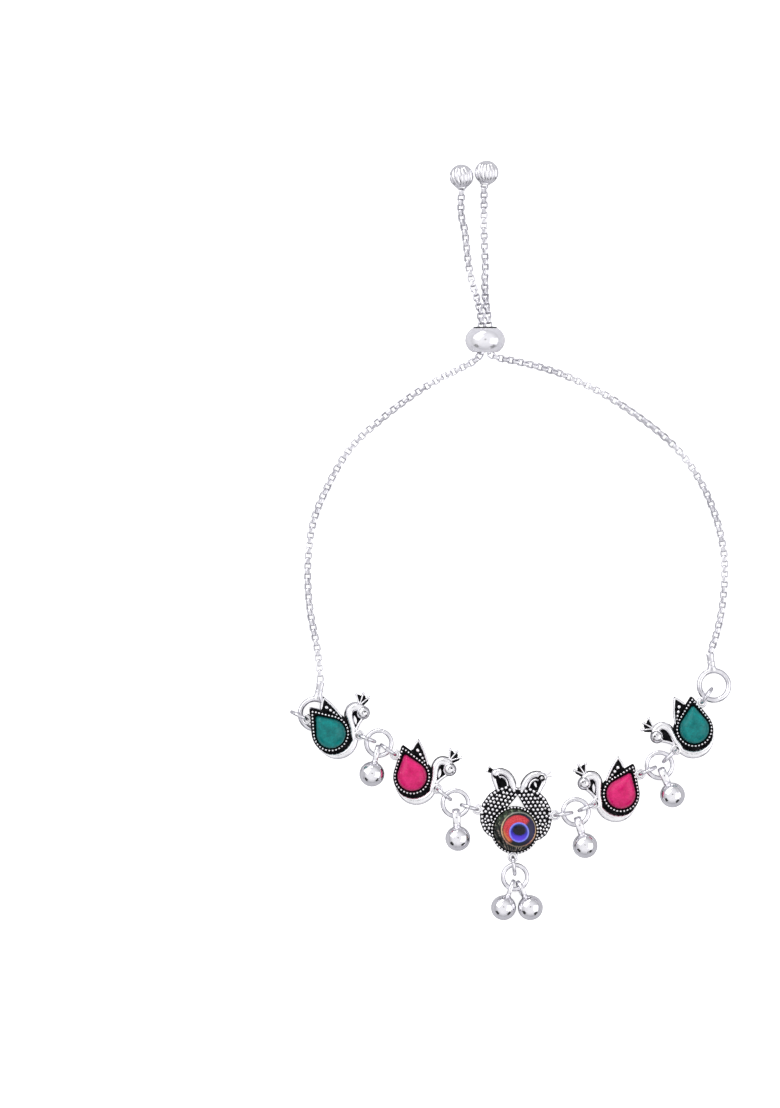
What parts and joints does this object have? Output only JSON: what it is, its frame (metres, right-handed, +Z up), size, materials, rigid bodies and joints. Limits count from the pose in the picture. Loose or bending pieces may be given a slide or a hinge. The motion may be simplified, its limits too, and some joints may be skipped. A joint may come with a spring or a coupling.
{
  "type": "payal anklet",
  "caption": "Slider-closed anklet of box chain with peacock links, pear stones, bells and a round centre piece, lying flat.",
  "frame": {"origin": "on the surface the anklet lies on, under the middle of its outline", "axes": "+Z up from the surface; +Y from the round centre piece to the two loose tails; +X to the right seen from above"},
  "size_m": [0.0882, 0.1518, 0.008],
  "materials": {
    "silver": "bright polished silver plate with soft wear",
    "chain_silver": "polished box chain",
    "oxidised_silver": "cast relief, polished high spots, black oxidised recesses",
    "green_stone": "glossy teal stone with fine mottling",
    "pink_stone": "glossy deep pink stone, darker at the rim",
    "feather_cabochon": null
  },
  "bodies": {
    "root": {"chain_left": "chain_silver", "chain_right": "chain_silver", "slider_bead": "silver", "end_bead_left": "silver", "end_bead_right": "silver", "end_ring_left": "silver", "end_ring_right": "silver", "jump_ring_1": "silver", "jump_ring_2": "silver", "jump_ring_3": "silver", "jump_ring_4": "silver", "jump_ring_drop": "silver", "link_ring_1": "silver", "link_ring_2": "silver", "link_ring_3": "silver", "link_ring_4": "silver", "link_ring_5": "silver", "link_ring_6": "silver", "link_ring_7": "silver", "link_ring_8": "silver", "link_ring_9": "silver", "link_ring_10": "silver", "link_ring_drop": "silver", "bell_1": "silver", "bell_2": "silver", "bell_3": "silver", "bell_4": "silver", "bell_drop_left": "silver", "bell_drop_right": "silver", "peacock_outer_left": "oxidised_silver", "peacock_inner_left": "oxidised_silver", "peacock_inner_right": "oxidised_silver", "peacock_outer_right": "oxidised_silver", "centre_piece": "oxidised_silver", "stone_outer_left": "green_stone", "stone_outer_right": "green_stone", "stone_inner_left": "pink_stone", "stone_inner_right": "pink_stone", "cabochon": "feather_cabochon"}
  },
  "joints": []
}
